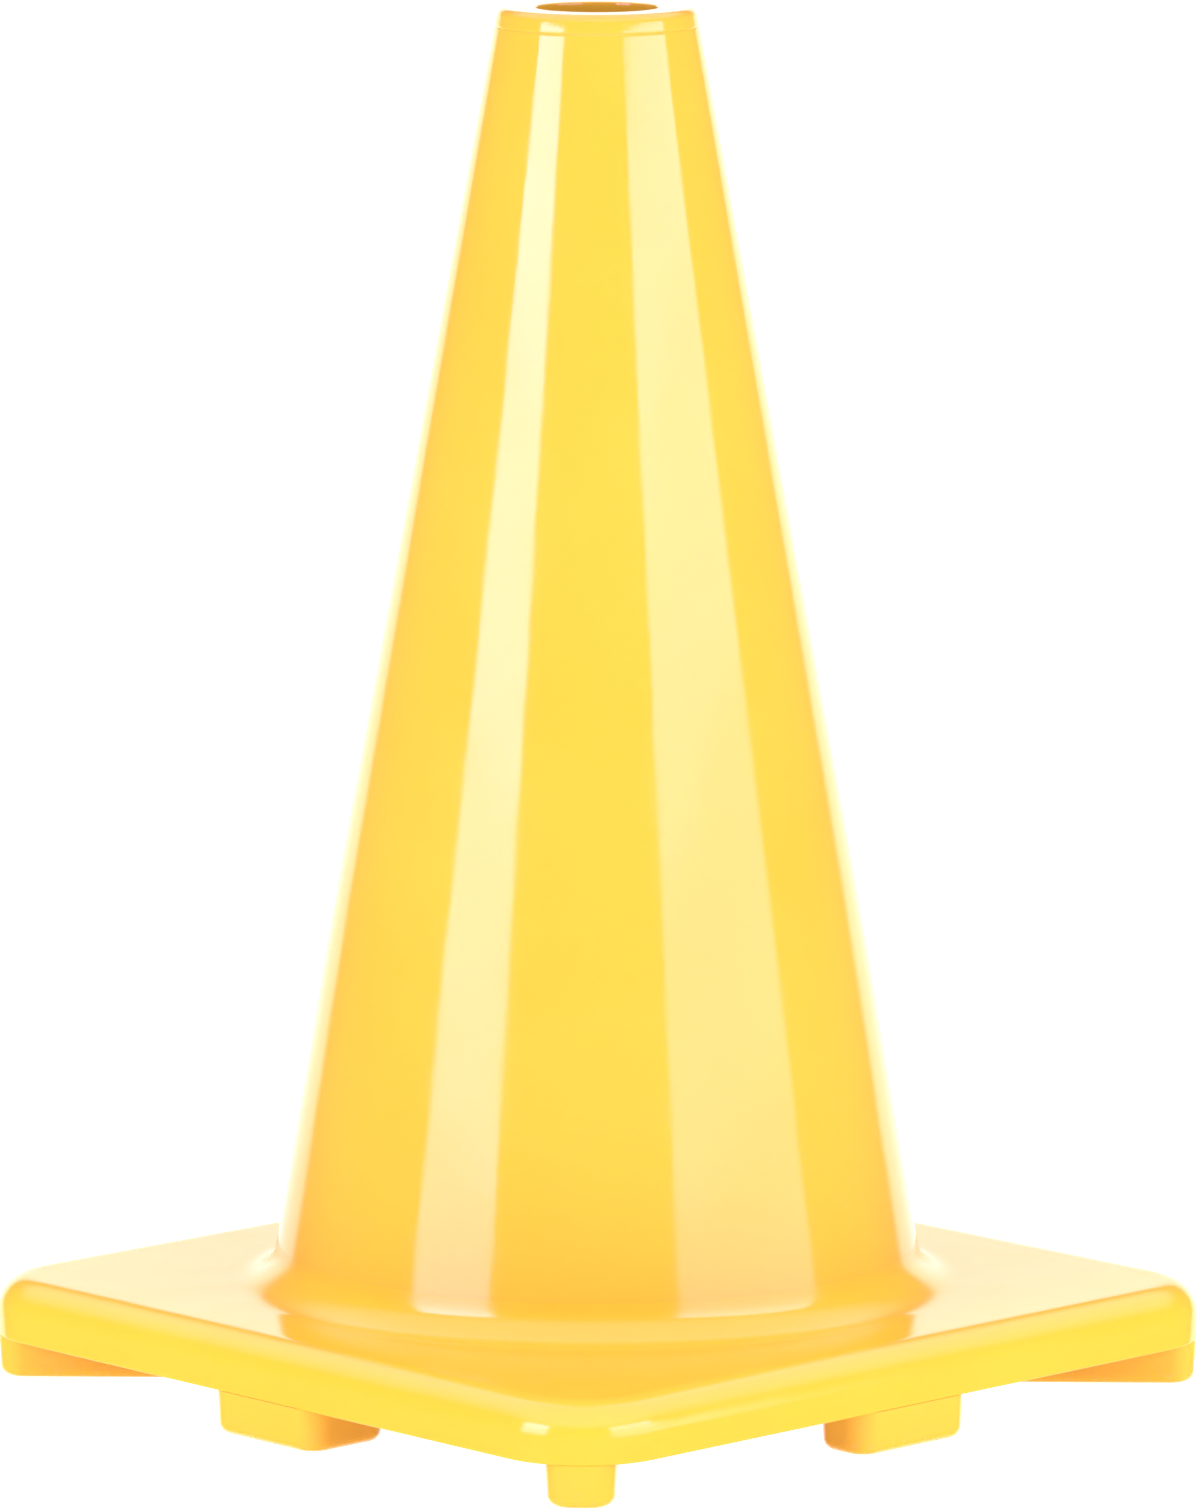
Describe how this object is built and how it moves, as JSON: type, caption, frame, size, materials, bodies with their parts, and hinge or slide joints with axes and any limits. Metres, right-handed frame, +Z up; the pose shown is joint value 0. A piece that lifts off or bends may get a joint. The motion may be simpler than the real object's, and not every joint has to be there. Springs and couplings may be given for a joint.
{
  "type": "caution cone",
  "caption": "Plain hollow caution cone that stands on a wet floor: a tapered soft PVC sleeve with a holed top, set in a square base on moulded feet.",
  "frame": {"origin": "on the floor, under the centre of the square base", "axes": "+Z up along the cone's axis; X and Y along the sides of the base; -Y is called the front, and the deeper side feet are at the front and the back"},
  "size_m": [0.302, 0.302, 0.457],
  "materials": {
    "sleeve_pvc": "glossy soft PVC, moulded smooth",
    "base_pvc": "glossy soft PVC, moulded smooth",
    "foot_pvc": "glossy soft PVC, moulded smooth, lightly scuffed where it meets the floor"
  },
  "bodies": {
    "root": {"cone_sleeve": "sleeve_pvc", "base": "base_pvc", "corner_foot_back_right": "foot_pvc", "corner_foot_back_left": "foot_pvc", "corner_foot_front_left": "foot_pvc", "corner_foot_front_right": "foot_pvc", "side_foot_right": "foot_pvc", "side_foot_back": "foot_pvc", "side_foot_left": "foot_pvc", "side_foot_front": "foot_pvc"}
  },
  "joints": []
}
